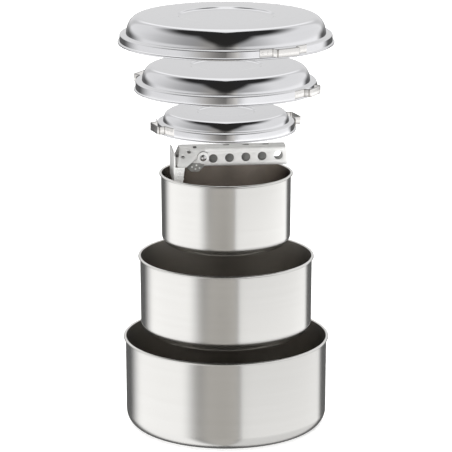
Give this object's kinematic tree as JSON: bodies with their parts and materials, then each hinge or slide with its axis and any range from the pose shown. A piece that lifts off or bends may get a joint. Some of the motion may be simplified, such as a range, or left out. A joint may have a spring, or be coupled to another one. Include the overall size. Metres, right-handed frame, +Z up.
{
  "type": "nesting cooking pot set",
  "caption": "Nesting stainless steel camping pots with domed strap-loop lids and a folding aluminium pot lifter, shown lifted apart on one upright axis.",
  "frame": {"origin": "centre of the large pot's base, on the surface it stands on", "axes": "+Z up along the common axis of the pots and lids; the lifter's handles point towards +X and its jaws towards -X"},
  "size_m": [0.216, 0.216, 0.4234],
  "materials": {
    "pot_steel": "fine satin brushing that runs round the wall, outside; darker satin inside",
    "lid_steel": "polished stainless steel with faint drawing lines",
    "strap_steel": "bright rolled strip, lightly brushed along its length",
    "lifter_aluminium": "matt tumbled sheet aluminium",
    "rivet_steel": "polished domed rivet"
  },
  "bodies": {
    "large_pot": {"large_pot": "pot_steel"},
    "medium_pot": {"medium_pot": "pot_steel"},
    "small_pot": {"small_pot": "pot_steel"},
    "small_lid": {"small_lid": "lid_steel", "small_lid_loop_front": "strap_steel", "small_lid_loop_back": "strap_steel"},
    "medium_lid": {"medium_lid": "lid_steel", "medium_lid_loop_front": "strap_steel", "medium_lid_loop_back": "strap_steel"},
    "large_lid": {"large_lid": "lid_steel", "large_lid_loop_front": "strap_steel", "large_lid_loop_back": "strap_steel"},
    "lifter_pin": {"lifter_pivot_pin": "rivet_steel"},
    "lifter_upper": {"lifter_upper_arm": "lifter_aluminium"},
    "lifter_lower": {"lifter_lower_arm": "lifter_aluminium"}
  },
  "joints": [
    {"name": "medium_pot_lift", "type": "slide", "parent": "large_pot", "child": "medium_pot", "axis": [0, 0, 1], "range_m": [-0.0968, 0.02]},
    {"name": "small_pot_lift", "type": "slide", "parent": "medium_pot", "child": "small_pot", "axis": [0, 0, 1], "range_m": [-0.0908, 0.02]},
    {"name": "small_lid_lift", "type": "slide", "parent": "small_pot", "child": "small_lid", "axis": [0, 0, 1], "range_m": [-0.0517, 0.02]},
    {"name": "medium_lid_lift", "type": "slide", "parent": "small_lid", "child": "medium_lid", "axis": [0, 0, 1], "range_m": [-0.0366, 0.02]},
    {"name": "large_lid_lift", "type": "slide", "parent": "medium_lid", "child": "large_lid", "axis": [0, 0, 1], "range_m": [-0.0349, 0.02]},
    {"name": "lifter_lift", "type": "slide", "parent": "small_pot", "child": "lifter_pin", "axis": [0, 0, 1], "range_m": [-0.0641, 0.026]},
    {"name": "upper_arm_hinge", "type": "hinge", "parent": "lifter_pin", "child": "lifter_upper", "pos_m": [-0.02407, -0.00253, 0.2804], "axis": [0.1045, -0.9945, 0], "range_deg": [0, 8]},
    {"name": "lower_arm_hinge", "type": "hinge", "parent": "lifter_pin", "child": "lifter_lower", "pos_m": [-0.02407, -0.00253, 0.2804], "axis": [0.1045, -0.9945, 0], "range_deg": [-8.5, 0.5]}
  ],
  "couplings": [
    {"joint": "lifter_lift", "follows": "small_lid_lift", "ratio": 1.234},
    {"joint": "lower_arm_hinge", "follows": "upper_arm_hinge", "ratio": -1}
  ]
}
